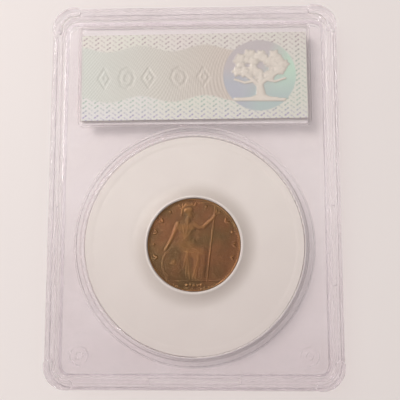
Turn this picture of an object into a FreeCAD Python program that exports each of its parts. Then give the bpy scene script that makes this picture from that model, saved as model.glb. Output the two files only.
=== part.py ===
import FreeCAD, Part
import math
import os

# Graded coin slab: two clear moulded shells welded round their edge, a white insert that grips one bronze
# coin, and a two-layer label.  It lies on its front face, so the rear face, with the hologram, looks up.
# X runs across the slab, Y runs along it towards the label, Z points up.  Units are millimetres.
# The origin is the centre of the footprint, level with the four stacking bars that the slab lies on.

# ---------------------------------------------------------------- overall size
SLAB_WIDTH = 62.0
SLAB_LENGTH = 82.0
STACK_STEP = 1.0            # height of the corner ears (rear) and of the stacking bars (front)
BODY_DEPTH = 6.0            # front rim face to rear rim face
CORNER_RADIUS = 4.9
EDGE_ROUND = 0.45           # rounding of the outer edges of both rims

FRONT_RIM_Z = STACK_STEP
REAR_RIM_Z = STACK_STEP + BODY_DEPTH
PARTING_Z = STACK_STEP + BODY_DEPTH / 2
EAR_TOP_Z = REAR_RIM_Z + STACK_STEP

# ---------------------------------------------------------------- rim, panel and side wall
RIM_WIDTH = 2.1             # flat top of the rim
RIM_SLOPE = 0.8             # drafted inner wall of the rim, in plan
PANEL_RECESS = 0.9          # the big flat panel lies this far below the rim face
PANEL_THICKNESS = 1.1
WALL_THICKNESS = 3.1        # side wall, outer face to cavity

REAR_PANEL_Z = REAR_RIM_Z - PANEL_RECESS
FRONT_PANEL_Z = FRONT_RIM_Z + PANEL_RECESS
REAR_CEILING_Z = REAR_PANEL_Z - PANEL_THICKNESS
FRONT_FLOOR_Z = FRONT_PANEL_Z + PANEL_THICKNESS

# ---------------------------------------------------------------- stacking features
EAR_LEG = 6.3               # length of each leg of an ear, from the slab's outer edge
EAR_WIDTH = 2.0
EAR_INSET = 0.1
BAR_WIDTH = 1.4
BAR_INSET = 0.45
SIDE_BAR_LENGTH = 17.5      # bars beside the window
END_BAR_LENGTH = 20.0       # bars at the label end and the window end

# ---------------------------------------------------------------- weld joint between the shells
SEAM_GAP = 0.1              # the shells stand this far apart outside the weld bead
BEAD_INSET = 2.35
BEAD_WIDTH = 0.5
TONGUE_INSET = 0.95
TONGUE_WIDTH = 0.8
TONGUE_DEPTH = 0.8
TONGUE_CLEARANCE = 0.06

# ---------------------------------------------------------------- round window and its nested locating rings
WINDOW_Y = -11.0            # centre of the window and of the coin
WINDOW_RADIUS = 23.45       # inner wall of the rear ring, which the insert fits
WINDOW_RAISE = 0.5          # the window pane bulges this far beyond the panel, on both faces
REAR_RING_WALL = 1.0
RING_CLEARANCE = 0.25
FRONT_RING_WALL = 1.1
FRONT_RING_TOP_Z = 4.3
BOSS_MARGIN = 0.1           # rear pane's outer edge, beyond the ring's inner wall
BOSS_ROUND = 0.3

FRONT_RING_INNER = WINDOW_RADIUS + REAR_RING_WALL + RING_CLEARANCE
FRONT_RING_OUTER = FRONT_RING_INNER + FRONT_RING_WALL
REAR_PANE_Z = REAR_PANEL_Z + WINDOW_RAISE
FRONT_PANE_Z = FRONT_PANEL_Z - WINDOW_RAISE
REAR_PANE_INNER_Z = REAR_PANE_Z - PANEL_THICKNESS
FRONT_PANE_INNER_Z = FRONT_PANE_Z + PANEL_THICKNESS
REAR_RING_BOTTOM_Z = FRONT_PANE_INNER_Z + 0.2
SEAT_RIB_RADII = (21.7, 22.7)

# ---------------------------------------------------------------- label pocket and label
POCKET_WIDTH = 50.2
POCKET_LENGTH = 22.0
POCKET_Y = 26.25            # centre of the pocket
POCKET_WALL = 0.4
POCKET_CORNER = 0.8
POCKET_BOTTOM_Z = FRONT_FLOOR_Z + 0.1
LABEL_SEAT_Z = 3.35
LABEL_SEAT_RIB = 0.8
LABEL_SEAT_INSET = 2.0      # the seat's outer edge, in from the pocket's wall
CARD_CLEARANCE = 0.25       # the front label's card fills the pocket but for this much, all round
CARD_THICKNESS = 0.35
HOLOGRAM_WIDTH = 49.5
HOLOGRAM_LENGTH = 19.35
HOLOGRAM_THICKNESS = 1.0    # foil on a foam backing
HOLOGRAM_CENTRE = (-0.07, 25.98)
HOLOGRAM_TWIST = 0.4        # degrees: the hologram label is stuck on a little off square
LABEL_CORNER = 0.4

# ---------------------------------------------------------------- locating pegs in the two window-end corners
PEG_POSITION = (24.2, -34.3)
PEG_RADIUS = 0.7
PEG_CLEARANCE = 0.05
PEG_TOP_Z = 4.5
BOSS_RADIUS = 1.9
BOSS_BOTTOM_Z = FRONT_FLOOR_Z + 0.15

# ---------------------------------------------------------------- coin and insert
COIN_RADIUS = 10.095        # small bronze coin, 20.19 mm across
COIN_THICKNESS = 1.25
COIN_RIM_WIDTH = 0.55
COIN_FIELD_DEPTH = 0.15
COIN_Z = PARTING_Z          # mid-plane of the coin
INSERT_RADIUS = WINDOW_RADIUS - 0.08
WEB_THICKNESS = 0.7
FLANGE_WIDTH = 1.75
FLANGE_RAMP = 0.6           # the flange rises from the web over this much of its width
FLANGE_TOP_Z = 4.39
FLANGE_BOTTOM_Z = 3.3
LIP_RADIUS = 9.97           # the lips reach over the coin's edge
GROOVE_RADIUS = 10.12
LIP_HEIGHT = 0.08
COLLAR_HALF_HEIGHT = 1.2
COLLAR_CREST_RADIUS = 10.22
COLLAR_FOOT_RADIUS = 14.1

UP = FreeCAD.Vector(0, 0, 1)


# ================================================================ shared shapes
def rounded_wire(width, length, radius, z, centre=(0.0, 0.0)):
    """Closed outline of a rectangle with round corners, in the plane at height z."""
    cx, cy = centre
    half_x = width / 2 - radius
    half_y = length / 2 - radius
    corners = [(half_x, half_y, 0), (-half_x, half_y, 90), (-half_x, -half_y, 180), (half_x, -half_y, 270)]
    arcs = []
    for x, y, start in corners:
        points = []
        for angle in (start, start + 45, start + 90):
            turn = math.radians(angle)
            offset_x = radius * math.cos(turn)
            offset_y = radius * math.sin(turn)
            points.append(FreeCAD.Vector(cx + x + offset_x, cy + y + offset_y, z))
        arcs.append(points)
    edges = []
    for index, points in enumerate(arcs):
        following = arcs[(index + 1) % len(arcs)]
        edges.append(Part.Arc(*points).toShape())
        edges.append(Part.LineSegment(points[2], following[0]).toShape())
    return Part.Wire(edges)


def inset_wire(inset, z):
    """The slab's outline moved inwards by inset, at height z."""
    return rounded_wire(SLAB_WIDTH - 2 * inset, SLAB_LENGTH - 2 * inset, CORNER_RADIUS - inset, z)


def plate(wire, height):
    return Part.Face(wire).extrude(UP * height)


def inset_plate(inset, z_low, z_high):
    return plate(inset_wire(inset, z_low), z_high - z_low)


def inset_band(inset, width, z_low, z_high):
    """A closed band that follows the slab's outline."""
    return inset_plate(inset, z_low, z_high).cut(inset_plate(inset + width, z_low, z_high))


def window_disc(radius, z_low, z_high):
    return Part.makeCylinder(radius, z_high - z_low, FreeCAD.Vector(0, WINDOW_Y, z_low))


def window_ring(inner, outer, z_low, z_high):
    return window_disc(outer, z_low, z_high).cut(window_disc(inner, z_low, z_high))


def edges_at(shape, z, test):
    """Edges that lie in the plane at height z and whose middle passes the test."""
    found = []
    for edge in shape.Edges:
        box = edge.BoundBox
        if abs(box.ZMin - z) < 1e-4 and abs(box.ZMax - z) < 1e-4 and test(edge):
            found.append(edge)
    return found


def on_outline(edge):
    """True for an edge on the slab's outer outline."""
    middle = edge.valueAt((edge.FirstParameter + edge.LastParameter) / 2)
    past_x = abs(middle.x) - (SLAB_WIDTH / 2 - CORNER_RADIUS)
    past_y = abs(middle.y) - (SLAB_LENGTH / 2 - CORNER_RADIUS)
    if past_x > 0 and past_y > 0:
        return abs(math.hypot(past_x, past_y) - CORNER_RADIUS) < 1e-3
    return abs(max(past_x, past_y) - CORNER_RADIUS) < 1e-3


def mirrored_to_corners(shape):
    """The shape in the +X +Y corner, and its mirror images in the other three."""
    origin = FreeCAD.Vector(0, 0, 0)
    across = shape.mirror(origin, FreeCAD.Vector(1, 0, 0))
    pair = [shape, across]
    return pair + [item.mirror(origin, FreeCAD.Vector(0, 1, 0)) for item in pair]


# ================================================================ half shell blanks
def half_blank(rim_z, seam_z):
    """Solid half of the slab from its rim face to the seam, with the rim's outer edge rounded."""
    low, high = sorted((rim_z, seam_z))
    blank = inset_plate(0.0, low, high)
    return blank.makeFillet(EDGE_ROUND, edges_at(blank, rim_z, on_outline))


def panel_recess(rim_z, panel_z):
    """The drafted recess between the rim face and the panel face."""
    mouth = inset_wire(RIM_WIDTH, rim_z)
    foot = inset_wire(RIM_WIDTH + RIM_SLOPE, panel_z)
    return Part.makeLoft([mouth, foot], True, True)


# ================================================================ rear shell
def corner_ear():
    """One L-shaped stacking ear, rooted in the rear rim's round edge, in the +X +Y corner."""
    outer_x = SLAB_WIDTH / 2 - EAR_INSET
    outer_y = SLAB_LENGTH / 2 - EAR_INSET
    inner_x = outer_x - EAR_WIDTH
    inner_y = outer_y - EAR_WIDTH
    centre_x = SLAB_WIDTH / 2 - CORNER_RADIUS
    centre_y = SLAB_LENGTH / 2 - CORNER_RADIUS
    outer_radius = CORNER_RADIUS - EAR_INSET
    inner_radius = outer_radius - EAR_WIDTH
    cap = EAR_WIDTH / 2
    end_x = SLAB_WIDTH / 2 - EAR_LEG + cap
    end_y = SLAB_LENGTH / 2 - EAR_LEG + cap
    diagonal = math.sqrt(0.5)
    root_z = REAR_RIM_Z - EDGE_ROUND

    def at(x, y):
        return FreeCAD.Vector(x, y, root_z)

    outer_mid = at(centre_x + outer_radius * diagonal, centre_y + outer_radius * diagonal)
    inner_mid = at(centre_x + inner_radius * diagonal, centre_y + inner_radius * diagonal)
    edges = [
        Part.LineSegment(at(outer_x, end_y), at(outer_x, centre_y)).toShape(),
        Part.Arc(at(outer_x, centre_y), outer_mid, at(centre_x, outer_y)).toShape(),
        Part.LineSegment(at(centre_x, outer_y), at(end_x, outer_y)).toShape(),
        Part.Arc(at(end_x, outer_y), at(end_x - cap, outer_y - cap), at(end_x, inner_y)).toShape(),
        Part.LineSegment(at(end_x, inner_y), at(centre_x, inner_y)).toShape(),
        Part.Arc(at(centre_x, inner_y), inner_mid, at(inner_x, centre_y)).toShape(),
        Part.LineSegment(at(inner_x, centre_y), at(inner_x, end_y)).toShape(),
        Part.Arc(at(inner_x, end_y), at(outer_x - cap, end_y - cap), at(outer_x, end_y)).toShape(),
    ]
    ear = plate(Part.Wire(edges), EAR_TOP_Z - root_z)
    return ear.makeFillet(BOSS_ROUND, edges_at(ear, EAR_TOP_Z, lambda edge: True))


def label_pocket_wall():
    """Rectangular wall under the rear panel that keeps the label in place."""
    height = REAR_CEILING_Z - POCKET_BOTTOM_Z
    centre = (0.0, POCKET_Y)
    outer_width = POCKET_WIDTH + 2 * POCKET_WALL
    outer_length = POCKET_LENGTH + 2 * POCKET_WALL
    outer_corner = POCKET_CORNER + POCKET_WALL
    outer = plate(rounded_wire(outer_width, outer_length, outer_corner, POCKET_BOTTOM_Z, centre), height)
    inner = plate(rounded_wire(POCKET_WIDTH, POCKET_LENGTH, POCKET_CORNER, POCKET_BOTTOM_Z, centre), height)
    return outer.cut(inner)


def peg_boss(side):
    """Tubular boss under the rear panel that slips over a peg of the front shell."""
    foot = FreeCAD.Vector(side * PEG_POSITION[0], PEG_POSITION[1], BOSS_BOTTOM_Z)
    tube = Part.makeCylinder(BOSS_RADIUS, REAR_CEILING_Z - BOSS_BOTTOM_Z, foot)
    bore = Part.makeCylinder(PEG_RADIUS + PEG_CLEARANCE, PEG_TOP_Z + 0.1 - BOSS_BOTTOM_Z, foot)
    return tube.cut(bore)


def rear_shell():
    seam_z = PARTING_Z + SEAM_GAP / 2
    shell = half_blank(REAR_RIM_Z, seam_z)
    shell = shell.cut(panel_recess(REAR_RIM_Z, REAR_PANEL_Z))
    shell = shell.cut(inset_plate(WALL_THICKNESS, seam_z, REAR_CEILING_Z))

    # window: the pane stands proud of the panel, and the locating ring hangs below it
    pane = window_disc(WINDOW_RADIUS + BOSS_MARGIN, REAR_PANEL_Z, REAR_PANE_Z)
    pane = pane.makeFillet(BOSS_ROUND, edges_at(pane, REAR_PANE_Z, lambda edge: True))
    shell = shell.fuse(pane)
    ring_outer = WINDOW_RADIUS + REAR_RING_WALL
    shell = shell.fuse(window_ring(WINDOW_RADIUS, ring_outer, REAR_RING_BOTTOM_Z, REAR_CEILING_Z))
    shell = shell.cut(window_disc(WINDOW_RADIUS, REAR_RING_BOTTOM_Z, REAR_PANE_INNER_Z))

    # label pocket, peg bosses, corner ears and the tongue of the weld joint
    shell = shell.fuse(label_pocket_wall())
    for side in (-1, 1):
        shell = shell.fuse(peg_boss(side))
    for ear in mirrored_to_corners(corner_ear()):
        shell = shell.fuse(ear)
    tongue = inset_band(TONGUE_INSET, TONGUE_WIDTH, seam_z - TONGUE_DEPTH, seam_z)
    return shell.fuse(tongue).removeSplitter()


# ================================================================ front shell
def stacking_bar(centre, length, along_x):
    """One bar under the front rim, with round ends, that fits between the ears of a slab below."""
    width = length if along_x else BAR_WIDTH
    depth = BAR_WIDTH if along_x else length
    bar = plate(rounded_wire(width, depth, BAR_WIDTH / 2 - 0.01, 0.0, centre), FRONT_RIM_Z)
    return bar.makeFillet(BOSS_ROUND, edges_at(bar, 0.0, lambda edge: True))


def stacking_bars():
    side_x = SLAB_WIDTH / 2 - BAR_INSET - BAR_WIDTH / 2
    end_y = SLAB_LENGTH / 2 - BAR_INSET - BAR_WIDTH / 2
    bars = [stacking_bar((side * side_x, WINDOW_Y), SIDE_BAR_LENGTH, False) for side in (-1, 1)]
    bars += [stacking_bar((0.0, side * end_y), END_BAR_LENGTH, True) for side in (-1, 1)]
    return bars


def label_seat():
    """Low rectangular rib on the front shell's floor that the label card rests on."""
    centre = (0.0, POCKET_Y)
    height = LABEL_SEAT_Z - FRONT_FLOOR_Z
    width = POCKET_WIDTH - 2 * LABEL_SEAT_INSET
    length = POCKET_LENGTH - 2 * LABEL_SEAT_INSET
    inner_width = width - 2 * LABEL_SEAT_RIB
    inner_length = length - 2 * LABEL_SEAT_RIB
    outer = plate(rounded_wire(width, length, POCKET_CORNER + LABEL_SEAT_RIB, FRONT_FLOOR_Z, centre), height)
    inner = plate(rounded_wire(inner_width, inner_length, POCKET_CORNER, FRONT_FLOOR_Z, centre), height)
    return outer.cut(inner)


def front_shell():
    seam_z = PARTING_Z - SEAM_GAP / 2
    shell = half_blank(FRONT_RIM_Z, seam_z)
    shell = shell.cut(panel_recess(FRONT_RIM_Z, FRONT_PANEL_Z))
    shell = shell.cut(inset_plate(WALL_THICKNESS, FRONT_FLOOR_Z, seam_z))

    # window: the pane stands proud of the panel, and the outer locating ring stands on the floor
    pane = window_disc(FRONT_RING_OUTER, FRONT_PANE_Z, FRONT_PANEL_Z)
    pane = pane.makeFillet(BOSS_ROUND, edges_at(pane, FRONT_PANE_Z, lambda edge: True))
    shell = shell.fuse(pane)
    shell = shell.fuse(window_ring(FRONT_RING_INNER, FRONT_RING_OUTER, FRONT_FLOOR_Z, FRONT_RING_TOP_Z))
    shell = shell.cut(window_disc(FRONT_RING_INNER, FRONT_PANE_INNER_Z, FRONT_RING_TOP_Z))
    shell = shell.fuse(window_ring(*SEAT_RIB_RADII, FRONT_PANE_INNER_Z, FLANGE_BOTTOM_Z))

    # groove for the rear shell's tongue, and the weld bead that meets the rear shell
    groove_inset = TONGUE_INSET - TONGUE_CLEARANCE
    groove_width = TONGUE_WIDTH + 2 * TONGUE_CLEARANCE
    shell = shell.cut(inset_band(groove_inset, groove_width, seam_z - TONGUE_DEPTH, seam_z))
    shell = shell.fuse(inset_band(BEAD_INSET, BEAD_WIDTH, seam_z, seam_z + SEAM_GAP))

    # label seat, locating pegs and stacking bars
    shell = shell.fuse(label_seat())
    for side in (-1, 1):
        foot = FreeCAD.Vector(side * PEG_POSITION[0], PEG_POSITION[1], FRONT_FLOOR_Z)
        shell = shell.fuse(Part.makeCylinder(PEG_RADIUS, PEG_TOP_Z - FRONT_FLOOR_Z, foot))
    for bar in stacking_bars():
        shell = shell.fuse(bar)
    return shell.removeSplitter()


# ================================================================ insert, coin and label
def coin_insert():
    """White disc with a rim flange and a raised collar on both faces that grips the coin's edge."""
    half_coin = COIN_THICKNESS / 2
    half_web = WEB_THICKNESS / 2
    flange_inner = INSERT_RADIUS - FLANGE_WIDTH

    def at(radius, height):
        return FreeCAD.Vector(radius, 0, height)

    def collar_side(sign):
        """Edges from the coin's groove over the collar to the web, on one face."""
        groove = at(GROOVE_RADIUS, COIN_Z + sign * half_coin)
        lip_low = at(LIP_RADIUS, COIN_Z + sign * half_coin)
        lip_top = at(LIP_RADIUS, COIN_Z + sign * (half_coin + LIP_HEIGHT))
        crest = at(COLLAR_CREST_RADIUS, COIN_Z + sign * COLLAR_HALF_HEIGHT)
        throat = at(LIP_RADIUS + 0.08, COIN_Z + sign * (COLLAR_HALF_HEIGHT - 0.16))
        brow = at(COLLAR_CREST_RADIUS + 0.24, COIN_Z + sign * (COLLAR_HALF_HEIGHT - 0.04))
        shoulder = at(COLLAR_CREST_RADIUS + 0.45, COIN_Z + sign * (COLLAR_HALF_HEIGHT - 0.18))
        hollow = at(COLLAR_CREST_RADIUS + 1.5, COIN_Z + sign * (half_web + 0.28))
        foot = at(COLLAR_FOOT_RADIUS, COIN_Z + sign * half_web)
        return [
            Part.LineSegment(groove, lip_low).toShape(),
            Part.LineSegment(lip_low, lip_top).toShape(),
            Part.Arc(lip_top, throat, crest).toShape(),
            Part.Arc(crest, brow, shoulder).toShape(),
            Part.Arc(shoulder, hollow, foot).toShape(),
        ]

    # outline of the section, round from the coin's groove to the flange and back
    upper = collar_side(1)
    lower = collar_side(-1)
    rim_points = [
        at(COLLAR_FOOT_RADIUS, COIN_Z + half_web),
        at(flange_inner, COIN_Z + half_web),
        at(flange_inner + FLANGE_RAMP, FLANGE_TOP_Z),
        at(INSERT_RADIUS, FLANGE_TOP_Z),
        at(INSERT_RADIUS, FLANGE_BOTTOM_Z),
        at(flange_inner, FLANGE_BOTTOM_Z),
        at(flange_inner, COIN_Z - half_web),
        at(COLLAR_FOOT_RADIUS, COIN_Z - half_web),
    ]
    rim = [Part.LineSegment(a, b).toShape() for a, b in zip(rim_points, rim_points[1:])]
    groove_low = at(GROOVE_RADIUS, COIN_Z - half_coin)
    groove_high = at(GROOVE_RADIUS, COIN_Z + half_coin)
    groove = [Part.LineSegment(groove_low, groove_high).toShape()]
    outline = Part.Wire(Part.sortEdges(groove + upper + rim + lower)[0])
    disc = Part.Face(outline).revolve(FreeCAD.Vector(0, 0, 0), UP, 360)
    disc.translate(FreeCAD.Vector(0, WINDOW_Y, 0))
    return disc


def coin():
    """Bronze disc with a raised rim round a sunken field on both faces."""
    low = COIN_Z - COIN_THICKNESS / 2
    high = COIN_Z + COIN_THICKNESS / 2
    field = COIN_RADIUS - COIN_RIM_WIDTH
    blank = window_disc(COIN_RADIUS, low, high)
    blank = blank.cut(window_disc(field, high - COIN_FIELD_DEPTH, high))
    return blank.cut(window_disc(field, low, low + COIN_FIELD_DEPTH))


def label_layer(width, length, z_low, thickness, centre):
    """One rectangular layer of the label."""
    return plate(rounded_wire(width, length, LABEL_CORNER, z_low, centre), thickness)


def front_label():
    """The printed card, which faces the front shell."""
    width = POCKET_WIDTH - 2 * CARD_CLEARANCE
    length = POCKET_LENGTH - 2 * CARD_CLEARANCE
    return label_layer(width, length, LABEL_SEAT_Z, CARD_THICKNESS, (0.0, POCKET_Y))


def hologram_label():
    """Foil on a foam backing, stuck to the back of the card."""
    z_low = LABEL_SEAT_Z + CARD_THICKNESS
    label = label_layer(HOLOGRAM_WIDTH, HOLOGRAM_LENGTH, z_low, HOLOGRAM_THICKNESS, HOLOGRAM_CENTRE)
    label.rotate(FreeCAD.Vector(*HOLOGRAM_CENTRE, z_low), UP, HOLOGRAM_TWIST)
    return label


NODES = {
    "front_shell": front_shell,
    "rear_shell": rear_shell,
    "coin_insert": coin_insert,
    "coin": coin,
    "front_label": front_label,
    "hologram_label": hologram_label,
}

os.makedirs("parts", exist_ok=True)
for name, make in NODES.items():
    shape = make()
    solids = shape.Solids
    if len(solids) != 1 or not solids[0].isValid():
        raise SystemExit(name + " is not one valid solid")
    solids[0].exportStep("parts/" + name + ".step")
    box = solids[0].BoundBox
    print(f"{name:16s} z {box.ZMin:.2f} to {box.ZMax:.2f}  volume {solids[0].Volume:.1f}")
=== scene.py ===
import math
import random

import bpy
import numpy as np
from mathutils import Matrix, Vector


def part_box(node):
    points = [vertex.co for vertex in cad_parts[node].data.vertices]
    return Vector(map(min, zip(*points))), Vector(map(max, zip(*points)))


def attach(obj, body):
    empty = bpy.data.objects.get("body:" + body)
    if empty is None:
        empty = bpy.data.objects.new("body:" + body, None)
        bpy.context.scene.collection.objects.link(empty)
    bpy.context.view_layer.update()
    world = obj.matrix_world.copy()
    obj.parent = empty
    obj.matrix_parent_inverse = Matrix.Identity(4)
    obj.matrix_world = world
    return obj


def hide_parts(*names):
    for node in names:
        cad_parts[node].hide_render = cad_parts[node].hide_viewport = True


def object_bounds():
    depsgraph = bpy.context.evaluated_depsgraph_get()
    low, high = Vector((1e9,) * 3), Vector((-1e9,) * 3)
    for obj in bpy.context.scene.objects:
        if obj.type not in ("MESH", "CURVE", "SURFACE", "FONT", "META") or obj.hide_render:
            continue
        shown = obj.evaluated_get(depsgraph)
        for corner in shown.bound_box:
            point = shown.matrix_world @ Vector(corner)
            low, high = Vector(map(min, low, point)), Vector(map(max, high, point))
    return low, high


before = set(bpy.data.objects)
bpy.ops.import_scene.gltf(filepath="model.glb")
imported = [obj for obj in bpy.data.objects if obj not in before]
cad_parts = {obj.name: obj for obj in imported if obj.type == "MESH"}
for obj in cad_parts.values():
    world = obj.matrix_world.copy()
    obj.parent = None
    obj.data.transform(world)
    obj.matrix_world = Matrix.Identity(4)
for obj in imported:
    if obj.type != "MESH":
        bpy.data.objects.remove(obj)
cad_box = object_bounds()

# Looks for the graded coin slab. Lengths are in metres, in the CAD model's frame.
# The slab lies on z = 0 with its rear face up, and the label end points along +Y.

MM = 0.001
BODY = "root"
PLASTIC_INDEX = 1.26  # lower than the real plastic's, for softer edges
MILK = 0.12  # share of the light that a milky surface of the shells scatters
WALL_MILK = 0.45  # the same for the wall round the insert, which is taken to be unpolished
MILK_RAMP = 0.3  # millimetres over which a pane turns from clear to milky

slab_low, slab_high = cad_box
SLAB_CENTRE = (slab_low + slab_high) / 2


# ---------------------------------------------------------------- node materials


class Value:
    """A number in a node tree. Arithmetic on it adds Math nodes."""

    def __init__(self, paint, socket):
        self.paint = paint
        self.socket = socket

    def __add__(self, other):
        return self.paint.math("ADD", self, other)

    def __sub__(self, other):
        return self.paint.math("SUBTRACT", self, other)

    def __mul__(self, other):
        return self.paint.math("MULTIPLY", self, other)

    def __truediv__(self, other):
        return self.paint.math("DIVIDE", self, other)


class Paint:
    """One material's node tree, with a short call for each kind of node that this script uses."""

    def __init__(self, name):
        self.material = bpy.data.materials.new(name)
        self.material.use_nodes = True
        self.tree = self.material.node_tree
        self.tree.nodes.clear()
        self.coordinates = self.node("ShaderNodeTexCoord").outputs["Object"]

    def node(self, kind, **settings):
        made = self.tree.nodes.new(kind)
        for setting, value in settings.items():
            setattr(made, setting, value)
        return made

    def feed(self, socket, value):
        """Puts a number, a colour, a Value or another node's output into a socket."""
        if isinstance(value, Value):
            value = value.socket
        if isinstance(value, bpy.types.NodeSocket):
            self.tree.links.new(value, socket)
        elif isinstance(value, tuple) and len(value) == 3 and socket.type == "RGBA":
            socket.default_value = (*value, 1.0)
        else:
            socket.default_value = value

    def math(self, operation, first, second=0.0, third=0.0):
        made = self.node("ShaderNodeMath", operation=operation)
        for socket, value in zip(made.inputs, (first, second, third)):
            self.feed(socket, value)
        return Value(self, made.outputs[0])

    def axes(self):
        """The object's own x, y and z in millimetres."""
        split = self.node("ShaderNodeSeparateXYZ")
        self.feed(split.inputs[0], self.coordinates)
        return [Value(self, output) / MM for output in split.outputs]

    def attribute(self, name):
        """A number that the mesh carries at each point."""
        return Value(self, self.node("ShaderNodeAttribute", attribute_name=name).outputs["Fac"])

    def noise(self, size, detail=3.0, roughness=0.55, stretch=(1.0, 1.0, 1.0)):
        """Cloudy variation from 0 to 1, whose blobs are about size metres across."""
        scaled = self.node("ShaderNodeMapping")
        self.feed(scaled.inputs["Vector"], self.coordinates)
        self.feed(scaled.inputs["Scale"], stretch)
        made = self.node("ShaderNodeTexNoise")
        self.feed(made.inputs["Vector"], scaled.outputs[0])
        self.feed(made.inputs["Scale"], 1.0 / size)
        self.feed(made.inputs["Detail"], detail)
        self.feed(made.inputs["Roughness"], roughness)
        return Value(self, made.outputs["Fac"])

    def spread(self, value, low, high, to_low=0.0, to_high=1.0, smooth=False):
        """Maps low..high onto to_low..to_high and holds it there outside."""
        made = self.node("ShaderNodeMapRange", interpolation_type="SMOOTHSTEP" if smooth else "LINEAR")
        for socket, number in zip(made.inputs[:5], (value, low, high, to_low, to_high)):
            self.feed(socket, number)
        return Value(self, made.outputs[0])

    def mix(self, share, first, second):
        """A colour: first where share is 0, second where it is 1."""
        made = self.node("ShaderNodeMix", data_type="RGBA")
        for name, value in (("Factor", share), ("A", first), ("B", second)):
            kind = "VALUE" if name == "Factor" else "RGBA"
            socket = next(s for s in made.inputs if s.name == name and s.type == kind)
            self.feed(socket, value)
        return next(s for s in made.outputs if s.type == "RGBA")

    def bump(self, height, strength, distance):
        made = self.node("ShaderNodeBump")
        self.feed(made.inputs["Strength"], strength)
        self.feed(made.inputs["Distance"], distance)
        self.feed(made.inputs["Height"], height)
        return made.outputs[0]

    def shader(self, **inputs):
        """A Principled shader. An input's name has _ for each space."""
        made = self.node("ShaderNodeBsdfPrincipled")
        for name, value in inputs.items():
            self.feed(made.inputs[name.replace("_", " ")], value)
        return made.outputs[0]

    def blend(self, share, first, second):
        """A shader: first where share is 0, second where it is 1."""
        made = self.node("ShaderNodeMixShader")
        for socket, value in zip(made.inputs, (share, first, second)):
            self.feed(socket, value)
        return made.outputs[0]

    def open_for(self, ray, shader, tint):
        """The shader, but see-through with that tint for one kind of ray."""
        clear = self.node("ShaderNodeBsdfTransparent")
        self.feed(clear.inputs["Color"], tint)
        return self.blend(self.node("ShaderNodeLightPath").outputs[ray], shader, clear.outputs[0])

    def finish(self, shader):
        output = self.node("ShaderNodeOutputMaterial")
        self.feed(output.inputs["Surface"], shader)
        return self.material


def srgb(red, green, blue):
    """A colour given in the usual 0 to 255 numbers, as the linear numbers that shaders use."""
    linear = []
    for level in (red, green, blue):
        share = level / 255
        linear.append(share / 12.92 if share <= 0.04045 else ((share + 0.055) / 1.055) ** 2.4)
    return tuple(linear)


def length_of(paint, x, y):
    """Distance of (x, y) from (0, 0), as a node."""
    return paint.math("SQRT", x * x + y * y)


def milky_share(paint, x, y, cloud):
    """How milky the shells are: clear over the insert and the label, milky elsewhere."""
    window_low, window_high = (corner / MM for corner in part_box("coin_insert"))
    window = (window_low + window_high) / 2
    from_window = length_of(paint, x - window.x, y - window.y) - (window_high.x - window.x)
    card_low, card_high = (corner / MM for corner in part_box("front_label"))
    card = (card_low + card_high) / 2
    past_x = paint.math("ABSOLUTE", x - card.x) - (card_high.x - card.x)
    past_y = paint.math("ABSOLUTE", y - card.y) - (card_high.y - card.y)
    from_card = paint.math("MAXIMUM", past_x, past_y)
    outside = paint.math("MINIMUM", from_window, from_card)
    milk = paint.spread(outside, 0.0, MILK_RAMP, 0.0, MILK) * paint.spread(cloud, 0.3, 0.7, 0.8, 1.2)
    # The ring's wall is taken to be unpolished. This also keeps the thin gap beside it from looking black.
    wall = paint.spread(from_window, 0.03, 0.07) * paint.spread(from_window, 0.2, 0.6, 1.0, 0.0)
    return paint.math("MAXIMUM", milk, wall * WALL_MILK)


def clear_plastic():
    """Clear polystyrene, polished over the coin and the label and a little milky elsewhere."""
    paint = Paint("clear_plastic")
    x, y, _ = paint.axes()
    cloud = paint.noise(9 * MM, detail=2)
    scratches = paint.noise(0.5 * MM, detail=2, stretch=(1.0, 0.06, 1.0))
    dimples = paint.noise(2.5 * MM, detail=1)
    normal = paint.bump(scratches * 0.3 + dimples, 0.02, 0.03 * MM)
    # Duller and pinker towards the end away from the label, as painted shade for the light that falls off
    # there, over a faint cloudy tone. Fitted.
    end_y = slab_low.y / MM
    middle_y = -2
    cloud_and_painted_falloff = cloud * 0.15 + paint.spread(y, end_y, middle_y, 0.0, 0.85)
    clear = paint.shader(
        Base_Color=paint.mix(cloud_and_painted_falloff, (0.865, 0.838, 0.848), (0.998, 0.993, 0.994)),
        Roughness=0.05,
        IOR=PLASTIC_INDEX,
        Transmission_Weight=1.0,
        Normal=normal,
    )
    milky = paint.shader(
        Base_Color=paint.mix(cloud, srgb(236, 226, 229), srgb(244, 237, 240)),
        Roughness=0.35,
        IOR=PLASTIC_INDEX,
        Normal=normal,
    )
    plastic = paint.blend(milky_share(paint, x, y, cloud), clear, milky)
    # Light from the lamps and the pieces inside passes straight through, with a small loss at each surface.
    lit = paint.open_for("Is Shadow Ray", plastic, (0.983, 0.977, 0.979))
    return paint.finish(paint.open_for("Is Diffuse Ray", lit, (0.99, 0.983, 0.987)))


def white_insert():
    """Matte white polypropylene with faint flow marks."""
    paint = Paint("white_insert")
    flow = paint.noise(5 * MM, detail=3)
    grain = paint.noise(0.25 * MM, detail=2)
    x, y, _ = paint.axes()
    low, high = (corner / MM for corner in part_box("coin_insert"))
    centre = (low + high) / 2
    radius = length_of(paint, x - centre.x, y - centre.y)
    plain = paint.mix(flow, srgb(225, 217, 211), srgb(232, 225, 218))
    # Painted shade round the coin, except on the collar's crest: a darker colour that stands in for part of
    # the collar's shade.
    crest = (10.35, 10.62)
    collar_shade_fades = (10.7, 14.6)
    painted_collar_shade = paint.spread(radius, *collar_shade_fades, 0.8, 0.0, smooth=True) * paint.spread(radius, *crest)
    return paint.finish(
        paint.shader(
            Base_Color=paint.mix(painted_collar_shade, plain, srgb(198, 188, 179)),
            Roughness=paint.spread(grain, 0.3, 0.7, 0.42, 0.56),
            Normal=paint.bump(grain, 0.12, 0.02 * MM),
        )
    )


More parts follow.
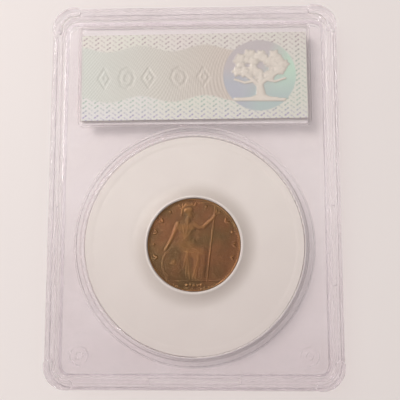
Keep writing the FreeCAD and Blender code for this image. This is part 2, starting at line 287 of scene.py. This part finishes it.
def old_bronze():
    """Toned bronze: warm where the relief is worn, mottled brown in the field, dark at the outer edge."""
    paint = Paint("old_bronze")
    relief = paint.attribute("relief")
    patches = paint.noise(3.2 * MM, detail=4)
    specks = paint.noise(0.35 * MM, detail=3, roughness=0.7)
    warm = paint.noise(6 * MM, detail=2)
    olive = paint.mix(patches, srgb(88, 64, 35), srgb(108, 80, 44))
    ruddy = paint.mix(patches, srgb(100, 62, 36), srgb(124, 82, 48))
    field = paint.mix(paint.spread(warm, 0.4, 0.6), olive, ruddy)
    toned = paint.mix(paint.spread(specks, 0.48, 0.72, 0.0, 0.8), field, srgb(82, 58, 34))
    worn = paint.mix(paint.spread(relief, 0.35, 0.95, 0.0, 0.7), toned, srgb(152, 108, 60))
    low, high = (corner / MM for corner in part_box("coin"))
    x, y, _ = paint.axes()
    radius = length_of(paint, x, y) / ((high.x - low.x) / 2)
    # The outer edge is darker. Fitted.
    worn = paint.mix(paint.spread(radius, 0.955, 0.985, 0.0, 0.8), worn, srgb(78, 56, 36))
    return paint.finish(
        paint.shader(
            Base_Color=worn,
            Metallic=0.6,
            Roughness=paint.spread(patches + specks, 0.7, 1.3, 0.4, 0.6),
            Normal=paint.bump(specks + patches, 0.5, 0.08 * MM),
        )
    )


# ---------------------------------------------------------------- relief


def stroke(x, y, points):
    """Domed stroke along points of (x, y, half width): 1 on its line, 0 at its edge and outside."""
    inside = np.zeros_like(x)
    for (ax, ay, ar), (bx, by, br) in zip(points, points[1:]):
        length = max((bx - ax) ** 2 + (by - ay) ** 2, 1e-9)
        along = np.clip(((x - ax) * (bx - ax) + (y - ay) * (by - ay)) / length, 0, 1)
        away = np.hypot(x - ax - along * (bx - ax), y - ay - along * (by - ay))
        across = away / (ar + along * (br - ar))
        inside = np.maximum(inside, np.clip(1 - across**2, 0, 1) ** 0.7)
    return inside


def oval(x, y, centre, half_size, turn=0.0):
    """Distance from centre, as a share of the oval's edge distance. turn is in degrees."""
    angle = math.radians(turn)
    across = (x - centre[0]) * math.cos(angle) + (y - centre[1]) * math.sin(angle)
    up = (y - centre[1]) * math.cos(angle) - (x - centre[0]) * math.sin(angle)
    return np.hypot(across / half_size[0], up / half_size[1])


def dome(distance):
    return np.clip(1 - distance**2, 0, 1) ** 0.6


def step(distance, edge, softness):
    """1 where distance is well under edge, 0 well over it."""
    share = np.clip((edge + softness / 2 - distance) / softness, 0, 1)
    return share * share * (3 - 2 * share)


def closed_relief(name, top, bottom):
    """A closed mesh between two grids of points, each rows x columns x 3, whose borders match."""
    rows, columns = top.shape[:2]
    index = np.arange(rows * columns).reshape(rows, columns)
    upper = np.stack([index[:-1, :-1], index[:-1, 1:], index[1:, 1:], index[1:, :-1]], -1).reshape(-1, 4)
    lower = upper[:, ::-1] + rows * columns
    border = np.concatenate([index[0, :-1], index[:-1, -1], index[-1, :0:-1], index[:0:-1, 0]])
    after = np.roll(border, -1)
    wall = np.stack([border + rows * columns, after + rows * columns, after, border], -1)
    points = np.concatenate([top.reshape(-1, 3), bottom.reshape(-1, 3)])
    mesh = bpy.data.meshes.new(name)
    mesh.from_pydata(points.tolist(), [], np.concatenate([upper, lower, wall]).tolist())
    mesh.polygons.foreach_set("use_smooth", [True] * len(mesh.polygons))
    mesh.set_sharp_from_angle(angle=math.radians(50))
    made = bpy.data.objects.new(name, mesh)
    bpy.context.scene.collection.objects.link(made)
    return made


def carry(piece, name, values):
    """Stores one number for each point of the mesh, for its material to read."""
    made = piece.data.attributes.new(name, "FLOAT", "POINT")
    made.data.foreach_set("value", np.ascontiguousarray(values, np.float32).ravel())


def add_piece(piece, node, material):
    piece.data.materials.append(material)
    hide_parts(node)
    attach(piece, BODY)
    return piece


# ---------------------------------------------------------------- coin

# The rear face's figure, in coin radii from the centre. Each stroke is (height, [(x, y, half width), ...]).
FIGURE = {
    "rock seat": (0.30, [(-0.52, -0.66, 0.08), (-0.10, -0.62, 0.12), (0.20, -0.72, 0.05)]),
    "cloak": (0.34, [(-0.33, 0.34, 0.06), (-0.40, 0.06, 0.09), (-0.36, -0.16, 0.10), (-0.18, -0.40, 0.14)]),
    "skirt": (0.46, [(-0.18, -0.14, 0.17), (-0.12, -0.46, 0.19), (-0.08, -0.64, 0.15)]),
    "far thigh": (0.50, [(-0.16, -0.02, 0.15), (0.17, -0.17, 0.13)]),
    "far shin": (0.44, [(0.18, -0.25, 0.11), (0.16, -0.64, 0.075)]),
    "far foot": (0.40, [(0.15, -0.69, 0.040), (0.25, -0.71, 0.026)]),
    "near thigh": (0.62, [(-0.22, -0.08, 0.14), (0.06, -0.26, 0.12)]),
    "near shin": (0.54, [(0.06, -0.32, 0.11), (0.01, -0.66, 0.075)]),
    "near foot": (0.46, [(0.01, -0.70, 0.042), (0.12, -0.725, 0.026)]),
    "hips": (0.58, [(-0.25, 0.02, 0.16), (-0.08, -0.02, 0.16)]),
    "waist": (0.54, [(-0.18, 0.36, 0.17), (-0.18, 0.10, 0.155)]),
    "chest": (0.64, [(-0.28, 0.37, 0.11), (-0.06, 0.37, 0.11)]),
    "left arm": (
        0.68,
        [(-0.34, 0.43, 0.060), (-0.41, 0.26, 0.050), (-0.47, 0.12, 0.044), (-0.57, -0.05, 0.032)],
    ),
    "left hand": (0.62, [(-0.57, -0.05, 0.040), (-0.60, -0.10, 0.028)]),
    "right arm": (0.62, [(0.01, 0.43, 0.060), (0.10, 0.37, 0.054), (0.20, 0.37, 0.046), (0.42, 0.57, 0.032)]),
    "right hand": (0.66, [(0.42, 0.57, 0.038), (0.45, 0.62, 0.032)]),
    "neck": (0.54, [(-0.12, 0.56, 0.050), (-0.14, 0.46, 0.066)]),
    "head": (0.72, [(-0.105, 0.68, 0.085), (-0.085, 0.62, 0.062)]),
    "nose": (0.62, [(-0.02, 0.675, 0.018), (0.002, 0.645, 0.016)]),
    "chin": (0.58, [(-0.055, 0.575, 0.030), (-0.035, 0.575, 0.022)]),
    "helmet": (0.86, [(-0.155, 0.72, 0.085), (-0.085, 0.745, 0.070)]),
    "crest": (0.74, [(-0.26, 0.64, 0.022), (-0.25, 0.76, 0.030), (-0.16, 0.85, 0.034), (-0.04, 0.84, 0.022)]),
}
# Folds of the robe, each a fan of fine ridges: (start, ends, half width, height).
CLOTH = [
    ((-0.14, -0.12), [(-0.26, -0.70), (-0.17, -0.72), (-0.09, -0.72)], 0.018, 0.18),
    ((0.10, -0.26), [(-0.02, -0.70), (0.05, -0.70), (0.12, -0.69)], 0.016, 0.16),
    ((-0.18, 0.12), [(-0.34, 0.36), (-0.24, 0.42), (-0.12, 0.42), (-0.02, 0.36)], 0.016, 0.14),
    ((0.20, -0.20), [(-0.24, 0.10), (-0.28, -0.02), (-0.20, -0.14)], 0.016, 0.16),
]
CLOTH_FROM = 0.3  # folds show only where the figure is higher than this
STAFF = [(0.462, 0.86, 0.017), (0.275, -0.73, 0.017)]
STAFF_KNOB = (0.034, 0.046)
SHIELD_CENTRE = (-0.43, -0.37)
SHIELD_HALF_SIZE = (0.25, 0.33)
SHIELD_LEAN = -12
GROUND = [(-0.62, -0.76, 0.014), (0.62, -0.76, 0.014)]
BEAD_COUNT = 130
FULL_RING = (0, 357.2)  # degrees of the first and the last bead
RELIEF_DEPTH = 0.15 * MM
COIN_GRID = 220


def folds(x, y, start, ends, half_width, depth):
    """Fine ridges from one point to several, for gathered cloth."""
    height = np.zeros_like(x)
    for end in ends:
        ridge = stroke(x, y, [(*start, half_width), (*end, half_width)])
        height = np.maximum(height, depth * ridge)
    return height


def ring_marks(x, y, radius, count, first, last, height, mark):
    """Marks round the coin from angle first to last, in degrees. mark() is 1 inside one mark, 0 outside."""
    total = np.zeros_like(x)
    for number in range(count):
        angle = math.radians(first + (last - first) * number / max(count - 1, 1))
        out = x * math.cos(angle) + y * math.sin(angle) - radius
        along = y * math.cos(angle) - x * math.sin(angle)
        total = np.maximum(total, height * mark(along, out, number))
    return total


def sprig(along, out, number):
    """Two small leaves on one foot, or by turns a berry."""
    if number % 3 == 1:
        return dome(oval(along, out, (0, 0), (0.030, 0.030)))
    pair = [dome(oval(along, out, (side * 0.026, 0), (0.056, 0.019), side * 58)) for side in (-1, 1)]
    return np.maximum(*pair)


def berry(along, out, number):
    """A round berry, every other one smaller."""
    size = 0.026 if number % 2 else 0.034
    return dome(oval(along, out, (0, 0), (size, size)))


def bead(along, out, number):
    return dome(oval(along, out, (0, 0), (0.012, 0.020)))


def rim(distance):
    """The raised rim and the rounded outer edge, as a height."""
    raised = 1 - step(distance, 0.955, 0.02)
    rounded = np.clip((distance - 0.975) / 0.025, 0, 1)
    return raised - 0.8 * rounded**2


def rear_face(x, y):
    """A seated robed figure with a plain staff and an oval shield, in a ring of small sprigs and berries."""
    distance = np.hypot(x, y)
    height = np.zeros_like(x)
    for level, points in FIGURE.values():
        height = np.maximum(height, level * stroke(x, y, points))
    shield = oval(x, y, SHIELD_CENTRE, SHIELD_HALF_SIZE, SHIELD_LEAN)
    face = 0.42 * dome(shield) * (shield < 1) + 0.16 * step(np.abs(shield - 0.90), 0.07, 0.05)
    boss = 0.25 * dome(np.clip(shield / 0.22, 0, 1))
    spokes = 0.07 * step(np.abs(shield - 0.5), 0.03, 0.04)
    height = np.maximum(height, (face + boss + spokes) * (shield < 1))
    cloth = sum(folds(x, y, *fold) for fold in CLOTH)
    height += cloth * (height > CLOTH_FROM)
    height = np.maximum(height, 0.62 * stroke(x, y, STAFF))
    height = np.maximum(height, 0.62 * dome(oval(x, y, STAFF[0][:2], STAFF_KNOB)))
    height = np.maximum(height, 0.42 * stroke(x, y, GROUND))
    height = np.maximum(height, ring_marks(x, y, 0.850, 13, 198, -18, 0.85, sprig))
    height = np.maximum(height, ring_marks(x, y, 0.860, 5, 260, 280, 0.80, berry))
    height = np.maximum(height, ring_marks(x, y, 0.935, BEAD_COUNT, *FULL_RING, 0.35, bead))
    return np.maximum(np.minimum(height, 1.0), rim(distance))


def front_face(x, y):
    """A wreath of two laurel branches round a plain eight-petalled flower."""
    distance = np.hypot(x, y)
    height = 0.5 * step(np.abs(distance - 0.62), 0.012, 0.02) * (y < 0.5)
    for radius, lean in ((0.70, 1), (0.55, -1)):

        def wreath_leaf(along, out, number, lean=lean):
            side = 1 if number < 11 else -1
            return dome(oval(along, out, (0, 0), (0.085, 0.032), 35 * lean * side))

        height = np.maximum(height, ring_marks(x, y, radius, 22, 60, -240, 0.7, wreath_leaf))
    petals = 0.30 + 0.055 * np.cos(8 * np.arctan2(y, x))
    height = np.maximum(height, 0.7 * dome(distance / petals))
    height = np.maximum(height, 0.9 * dome(distance / 0.09))
    height = np.maximum(height, ring_marks(x, y, 0.930, BEAD_COUNT, *FULL_RING, 0.45, bead))
    return np.maximum(np.minimum(height, 1.0), rim(distance))


def disc_points(count):
    """x and y of a square grid bent into a round one of radius 1, evenly spaced to its edge."""
    side = np.linspace(-1, 1, count)
    across, up = np.meshgrid(side, side)
    wide = np.abs(across) > np.abs(up)
    radius = np.where(wide, across, up)
    safe = np.where(radius == 0, 1, radius)
    turn = np.where(wide, math.pi / 4 * up / safe, math.pi / 2 - math.pi / 4 * across / safe)
    return radius * np.cos(turn), radius * np.sin(turn)


def coin():
    low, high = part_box("coin")
    centre = (low + high) / 2
    radius = (high.x - low.x) / 2
    half = (high.z - low.z) / 2
    x, y = disc_points(COIN_GRID)
    reliefs = (rear_face(x, y), front_face(x, -y))
    rear, front = (
        np.stack([radius * x, radius * y, side * (half - RELIEF_DEPTH * (1 - relief))], -1)
        for side, relief in zip((1, -1), reliefs)
    )
    made = closed_relief("bronze_coin", rear, front)
    made.location = centre
    carry(made, "relief", np.stack(reliefs))
    return add_piece(made, "coin", old_bronze())


# ---------------------------------------------------------------- label


# Everything on the hologram label is in millimetres from its centre.
LABEL_TWIST = math.radians(0.4)
EMBLEM_CENTRE = (14.4, 0.0)
EMBLEM_RADIUS = 7.95
EMBLEM_EDGE_WIDTH = 0.15
FOIL_SPACING = 0.14
TREE_HEIGHT = 0.22
ORNAMENT_DEPTH = 0.08
EMBLEM_EDGE_HEIGHT = 0.02
ORNAMENT_Y = -0.2
ORNAMENT_HEIGHT = 5.4
ORNAMENTS = [
    (-19.75, 3.3, "lozenge"),
    (-14.8, 4.1, "flower"),
    (-10.0, 3.5, "lozenge"),
    (-3.3, 4.1, "flower"),
    (2.1, 3.5, "lozenge"),
]

# The tree on the emblem, in millimetres from the emblem's centre, as strokes of (x, y, half width).
TREE_TRUNK = [
    [(0.3, -4.8, 1.25), (0.1, -2.6, 0.85), (0.3, 0.6, 0.6)],
    [(0.1, -2.6, 0.6), (-1.9, -0.7, 0.45), (-4.2, 0.9, 0.3)],
    [(-1.2, -1.3, 0.4), (-3.2, -1.7, 0.3), (-5.4, -0.9, 0.25)],
    [(0.2, -1.8, 0.6), (2.4, -0.4, 0.45), (4.8, 0.9, 0.3)],
    [(1.5, -1.0, 0.4), (3.4, -1.5, 0.3), (5.6, -0.8, 0.25)],
    [(0.3, -4.8, 0.9), (-1.9, -5.2, 0.35), (-3.4, -5.2, 0.2)],
    [(0.3, -4.8, 0.9), (2.3, -5.2, 0.35), (3.8, -5.2, 0.2)],
]
GROUND_BAR = [(-5.4, -5.4, 0.42), (5.4, -5.6, 0.42)]
LEAF_CLUSTERS = 64
CROWN_CENTRE = (0.2, 1.9)
CROWN_HALF_SIZE = (5.6, 3.6)

# The rippled band's edges and the border's dash pattern, in millimetres.
RIPPLE = 0.7
RIPPLE_LENGTH = 14.2
RIPPLE_CREST_X = -11.8
BAND_TOP = 6.25
BAND_BOTTOM = -5.2
DASH_COLUMN = 1.3
DASH_ROW = 1.1
DASH_HALF_LENGTH = 0.32
DASH_LEAN = math.radians(36)


def turned_size(low, high, twist):
    """Length and width of a rectangle that is turned by twist inside the box low..high."""
    wide, tall = high.x - low.x, high.y - low.y
    scale = math.cos(twist) ** 2 - math.sin(twist) ** 2
    length = (wide * math.cos(twist) - tall * math.sin(twist)) / scale
    width = (tall * math.cos(twist) - wide * math.sin(twist)) / scale
    return length, width


def tree(x, y):
    """Height of the emblem's oak tree, 0 to 1."""
    draw = random.Random(7)
    height = np.zeros_like(x)
    for _ in range(LEAF_CLUSTERS):
        angle = draw.uniform(0, 2 * math.pi)
        reach = math.sqrt(draw.uniform(0.08, 1.0))
        centre_x = CROWN_CENTRE[0] + CROWN_HALF_SIZE[0] * reach * math.cos(angle)
        centre_y = CROWN_CENTRE[1] + CROWN_HALF_SIZE[1] * reach * math.sin(angle)
        if centre_y < -0.9 + 0.25 * abs(centre_x):
            continue
        size = draw.uniform(0.75, 1.2)
        away = np.hypot(x - centre_x, y - centre_y)
        lobes = size * (1 + 0.16 * np.cos(5 * np.arctan2(y - centre_y, x - centre_x) + angle))
        height = np.maximum(height, dome(away / lobes) * draw.uniform(0.55, 0.9))
    for points in TREE_TRUNK:
        height = np.maximum(height, 0.75 * stroke(x, y, points))
    return np.maximum(height, 0.8 * stroke(x, y, GROUND_BAR))


def ornament(x, y, width, kind):
    """Share, 0 to 1, of a sunk outline ornament as tall as ORNAMENT_HEIGHT."""
    half_width, half_height = width / 2, ORNAMENT_HEIGHT / 2
    if kind == "lozenge":
        distance = np.abs(x) / half_width + np.abs(y) / half_height
        outline = step(np.abs(distance - 0.76), 0.20, 0.16)
        return np.maximum(outline, step(distance, 0.24, 0.16))
    across, up = x / half_width, y / half_height
    distance = np.hypot(across, up)
    petals = 0.94 + 0.05 * np.cos(8 * np.arctan2(up, across))
    outline = step(np.abs(distance / petals - 0.80), 0.16, 0.14)
    return np.maximum(outline, step(distance, 0.30, 0.14))


def guilloche(paint, x, y):
    """Two sets of fine curved lines that cross, 0 to 1. They slant on the left and arch near the emblem."""
    left = paint.spread(x, -10, 6, 1.0, 0.0)
    arch = y * y * 0.045
    bend = paint.math("SINE", x * 0.45 + 1.0) * 0.6 - left * y * 0.62 - arch + left * arch
    rising = paint.math("SINE", (x + bend) * (2 * math.pi / 0.54))
    falling = paint.math("SINE", (x + y * 0.4 - bend) * (2 * math.pi / 1.1))
    return rising * 0.26 + falling * 0.10 + 0.45


def dash_pairs(paint, x, y):
    """Pairs of short dashes that lean left and right in turn, column by column, 0 to 1."""
    column = x / DASH_COLUMN
    odd = paint.math("FRACT", paint.math("FLOOR", column) * 0.5) * 2
    lean = odd * 2 - 1
    cell_x = (paint.math("FRACT", column) - 0.5) * DASH_COLUMN
    cell_y = (paint.math("FRACT", y / DASH_ROW + odd * 0.5) - 0.5) * DASH_ROW
    flat, steep = math.cos(DASH_LEAN), math.sin(DASH_LEAN)
    along = cell_x * flat + lean * cell_y * steep
    across = cell_y * flat - lean * cell_x * steep
    from_dash = paint.math("ABSOLUTE", along) - DASH_HALF_LENGTH
    away = paint.math("SQRT", from_dash * from_dash + across * across * 2.2)
    return paint.spread(away, 0.14, 0.36, 1.0, 0.0) * (odd * 0.45 + 0.55)


def foil_material():
    """Pale security foil: a rippled band of fine curved lines between borders of small dash pairs."""
    paint = Paint("security_foil")
    x, y, z = paint.axes()
    emblem = paint.attribute("emblem")
    tree_share = paint.attribute("tree")
    fine = paint.noise(1.2 * MM, detail=2)
    warm = paint.noise(16 * MM, detail=1)

    ripple = paint.math("COSINE", (x - RIPPLE_CREST_X) * (2 * math.pi / RIPPLE_LENGTH)) * RIPPLE
    below_top = paint.spread(y - ripple, BAND_TOP, BAND_TOP + 0.4, 1.0, 0.0)
    band = below_top * paint.spread(y - ripple, BAND_BOTTOM, BAND_BOTTOM + 0.4)
    band = band * paint.spread(x, 8.5, 11.0, 1.0, 0.0)
    lines = guilloche(paint, x, y)
    dashes = dash_pairs(paint, x, y)

    silver = paint.mix(paint.spread(y, -9, 8), srgb(217, 216, 213), srgb(221, 214, 209))
    border = paint.mix(paint.spread(warm, 0.35, 0.65), silver, srgb(218, 217, 207))
    hue = paint.mix(paint.spread(y, -8.8, -6.4), srgb(160, 148, 182), srgb(158, 180, 166))
    hue = paint.mix(paint.spread(y, 2, 7), hue, srgb(170, 152, 154))
    border = paint.mix(dashes * paint.spread(fine, 0.3, 0.6, 0.6, 1.0), border, hue)
    ribbon_light = paint.mix(paint.spread(x, -24, 8), srgb(215, 218, 211), srgb(214, 205, 196))
    ribbon_dark = paint.mix(paint.spread(x, -24, 8), srgb(190, 193, 184), srgb(190, 178, 167))
    ribbon = paint.mix(lines, ribbon_light, ribbon_dark)
    paper = paint.mix(band, border, ribbon)

    sky = paint.mix(paint.spread(x - y * 0.4, 14, 20), srgb(194, 187, 187), srgb(195, 217, 200))
    sky = paint.mix(paint.spread(y, -5, 1, 1.0, 0.0), sky, srgb(183, 196, 193))
    blue = paint.spread(x, 10, 14, 1.0, 0.0) * paint.spread(y, -2, 2, 1.0, 0.0)
    sky = paint.mix(blue, sky, srgb(184, 186, 193))
    cream = paint.mix(fine, srgb(214, 206, 194), srgb(226, 219, 209))
    # Painted shade: the cream is darker where the tree is low, in the creases between its leaf clusters.
    cream = paint.mix(paint.spread(tree_share, 0.28, 0.72, 0.55, 0.0), cream, srgb(178, 170, 162))
    medal = paint.mix(paint.spread(tree_share, 0.10, 0.26), sky, cream)

    face = paint.mix(emblem, paper, medal)
    foam = paint.mix(fine, srgb(214, 207, 205), srgb(226, 219, 217))
    colour = paint.mix(paint.spread(z, 0.25, 0.35), foam, face)
    return paint.finish(
        paint.shader(
            Base_Color=colour,
            Roughness=paint.spread(fine, 0.2, 0.8, 0.45, 0.6),
            Metallic=0.05,
            Specular_IOR_Level=0.25,
            Normal=paint.bump(lines * band * 0.5 + dashes, 0.04, 0.03 * MM),
        )
    )


def hologram_label():
    low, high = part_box("hologram_label")
    length, width = turned_size(low, high, LABEL_TWIST)
    half = (high.z - low.z) / 2
    spacing = FOIL_SPACING * MM
    across = np.linspace(-length / 2, length / 2, round(length / spacing) + 1)
    up = np.linspace(-width / 2, width / 2, round(width / spacing) + 1)
    east, north = np.meshgrid(across, up)
    x, y = east / MM, north / MM
    from_emblem = np.hypot(x - EMBLEM_CENTRE[0], y - EMBLEM_CENTRE[1])
    emblem = step(from_emblem, EMBLEM_RADIUS, 0.2)
    oak = tree(x - EMBLEM_CENTRE[0], y - EMBLEM_CENTRE[1]) * emblem
    sunk = np.zeros_like(x)
    for place, ornament_width, kind in ORNAMENTS:
        sunk = np.maximum(sunk, ornament(x - place, y - ORNAMENT_Y, ornament_width, kind))
    edge = step(np.abs(from_emblem - EMBLEM_RADIUS), EMBLEM_EDGE_WIDTH, 0.2)
    relief = TREE_HEIGHT * oak - ORNAMENT_DEPTH * sunk + EMBLEM_EDGE_HEIGHT * edge
    height = half + relief * MM
    top = np.stack([east, north, height], -1)
    bottom = np.stack([east, north, np.full_like(east, -half)], -1)
    made = closed_relief("security_foil", top, bottom)
    made.location = (low + high) / 2
    made.rotation_euler.z = LABEL_TWIST
    carry(made, "emblem", np.stack([emblem, emblem]))
    carry(made, "tree", np.stack([oak, oak]))
    return add_piece(made, "hologram_label", foil_material())


def card_material():
    """White card whose front, seen from below, is printed with a plain frame, a pale band and grey rules."""
    paint = Paint("printed_card")
    x, y, z = paint.axes()
    low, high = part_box("front_label")
    middle = (low + high) / 2 / MM
    east = x - middle.x
    north = y - middle.y
    half_x = (high.x - low.x) / 2 / MM
    half_y = (high.y - low.y) / 2 / MM
    fibre = paint.noise(0.8 * MM, detail=4)
    white = paint.mix(fibre, srgb(222, 216, 216), srgb(232, 226, 226))
    from_end = paint.math("ABSOLUTE", east) * -1 + half_x
    from_long_side = paint.math("ABSOLUTE", north) * -1 + half_y
    from_side = paint.math("MINIMUM", from_end, from_long_side)
    frame_line = paint.spread(from_side, 0.9, 1.0) * paint.spread(from_side, 1.3, 1.4, 1.0, 0.0)
    inside = paint.spread(from_side, 1.8, 1.9)
    header = paint.spread(north, 4.6, 4.7) * inside
    rule_spacing = 2.1
    rule = paint.math("FRACT", north / rule_spacing)
    rules = paint.spread(rule, 0.30, 0.36) * paint.spread(rule, 0.62, 0.68, 1.0, 0.0)
    rules = rules * inside * paint.spread(north, 3.4, 3.5, 1.0, 0.0) * paint.spread(east, -20.6, -20.5)
    ragged = paint.math("SINE", paint.math("FLOOR", north / rule_spacing) * 2.4) * 6 + 6
    rules = rules * paint.spread(east - ragged, 0.0, 0.1, 1.0, 0.0)
    print_colour = paint.mix(header, white, srgb(126, 140, 164))
    print_colour = paint.mix(rules, print_colour, srgb(122, 120, 122))
    print_colour = paint.mix(frame_line, print_colour, srgb(126, 140, 164))
    colour = paint.mix(paint.spread(z, middle.z - 0.1, middle.z), print_colour, white)
    return paint.finish(
        paint.shader(
            Base_Color=colour,
            Roughness=paint.spread(fibre, 0.3, 0.7, 0.5, 0.65),
            Normal=paint.bump(fibre, 0.1, 0.02 * MM),
        )
    )


def keep_node(node, material):
    """Gives a CAD node's own object a finished material."""
    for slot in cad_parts[node].material_slots:
        slot.material = material


# ---------------------------------------------------------------- stage

FLOOR_SIZE = 3.0
SKY_COLOUR = (1.0, 0.965, 0.955)
SKY_RISE = (0.0, 0.8, 0.40, 0.66)  # from z 0 to z 0.8 the sky's strength goes from 0.40 to 0.66
PATCH_DIRECTION = Vector((-0.04, 0.10, 1.0))  # towards whoever leans over the slab
PATCH_FALL = (0.885, 0.965, 1.0, 0.2)  # cosines at the patch's edge and core, and the sky's share there

# Lamps: place from the slab's centre, width, power and colour.
KEY = ((-0.28, 0.21, 0.46), 0.26, 1.9, (1.0, 0.97, 0.95))
GLINTS = ((-0.30, -0.36, 0.20), 0.12, 0.8, (1.0, 1.0, 1.0))

# The camera, in millimetres from the middle of the slab's footprint.
EYE = Vector((6.1, -19.3, 146.4))
AIM = Vector((1.12, -0.82, 0))
LENS = 59.87
SENSOR = 36.0


def tabletop():
    """A plain pale floor, faintly warm."""
    paint = Paint("tabletop")
    cloud = paint.noise(60 * MM, detail=2)
    grain = paint.noise(0.9 * MM, detail=2)
    colour = paint.mix(cloud, srgb(233, 226, 224), srgb(236, 229, 226))
    return paint.finish(
        paint.shader(Base_Color=colour, Roughness=0.7, Normal=paint.bump(grain, 0.05, 0.02 * MM))
    )


def floor():
    half = FLOOR_SIZE / 2
    mesh = bpy.data.meshes.new("floor")
    corners = [(-half, -half, 0), (half, -half, 0), (half, half, 0), (-half, half, 0)]
    mesh.from_pydata(corners, [], [(0, 1, 2, 3)])
    made = bpy.data.objects.new("floor", mesh)
    made.location = (SLAB_CENTRE.x, SLAB_CENTRE.y, slab_low.z)
    bpy.context.scene.collection.objects.link(made)
    mesh.materials.append(tabletop())


def aimed(thing, place, target):
    """Puts a light or camera at place, with its -Z axis towards target and +Y upright."""
    ahead = (target - place).normalized()
    side = ahead.cross(Vector((0, 1, 0))).normalized()
    above = side.cross(ahead)
    thing.matrix_world = Matrix.Translation(place) @ Matrix((side, above, -ahead)).transposed().to_4x4()


def soft_light(name, place, size, power, colour):
    lamp = bpy.data.lights.new(name, "AREA")
    lamp.shape = "DISK"
    lamp.size = size
    lamp.energy = power
    lamp.color = colour
    made = bpy.data.objects.new(name, lamp)
    bpy.context.scene.collection.objects.link(made)
    aimed(made, SLAB_CENTRE + Vector(place), SLAB_CENTRE)
    return made


def sky_node(tree, value, numbers, smooth=False):
    """Maps a direction's value onto a brightness: numbers are from low, from high, to low, to high."""
    made = tree.nodes.new("ShaderNodeMapRange")
    made.interpolation_type = "SMOOTHSTEP" if smooth else "LINEAR"
    tree.links.new(value, made.inputs["Value"])
    for name, number in zip(("From Min", "From Max", "To Min", "To Max"), numbers):
        made.inputs[name].default_value = number
    return made.outputs[0]


def studio():
    """A pale sky, brighter overhead but for one dark patch, a soft key light and a small lamp for glints."""
    world = bpy.data.worlds.new("studio")
    world.use_nodes = True
    tree = world.node_tree
    background = tree.nodes["Background"]
    direction = tree.nodes.new("ShaderNodeTexCoord").outputs["Generated"]
    towards = tree.nodes.new("ShaderNodeVectorMath")
    towards.operation = "DOT_PRODUCT"
    tree.links.new(direction, towards.inputs[0])
    towards.inputs[1].default_value = PATCH_DIRECTION.normalized()
    upward = tree.nodes.new("ShaderNodeSeparateXYZ")
    tree.links.new(direction, upward.inputs[0])
    product = tree.nodes.new("ShaderNodeMath")
    product.operation = "MULTIPLY"
    tree.links.new(sky_node(tree, upward.outputs["Z"], SKY_RISE), product.inputs[0])
    patch = sky_node(tree, towards.outputs["Value"], PATCH_FALL, smooth=True)
    tree.links.new(patch, product.inputs[1])
    tree.links.new(product.outputs[0], background.inputs["Strength"])
    background.inputs["Color"].default_value = (*SKY_COLOUR, 1.0)
    bpy.context.scene.world = world
    soft_light("key", *KEY)
    soft_light("glints", *GLINTS).visible_diffuse = False


def camera():
    """Nearly overhead, from a little below and right of the slab's middle."""
    lens = bpy.data.cameras.new("camera")
    lens.lens = LENS
    lens.sensor_width = SENSOR
    lens.clip_start = 0.005
    made = bpy.data.objects.new("camera", lens)
    bpy.context.scene.collection.objects.link(made)
    base = Vector((SLAB_CENTRE.x, SLAB_CENTRE.y, slab_low.z))
    aimed(made, base + EYE * MM, base + AIM * MM)
    bpy.context.scene.camera = made


# ---------------------------------------------------------------- the scene

shell_plastic = clear_plastic()
keep_node("rear_shell", shell_plastic)
keep_node("front_shell", shell_plastic)
keep_node("coin_insert", white_insert())
keep_node("front_label", card_material())
coin()
hologram_label()
floor()
studio()
camera()
bpy.context.scene.view_settings.view_transform = "Standard"
bounces = 24
bpy.context.scene.cycles.max_bounces = bounces
bpy.context.scene.cycles.transmission_bounces = bounces
bpy.context.scene.cycles.transparent_max_bounces = bounces
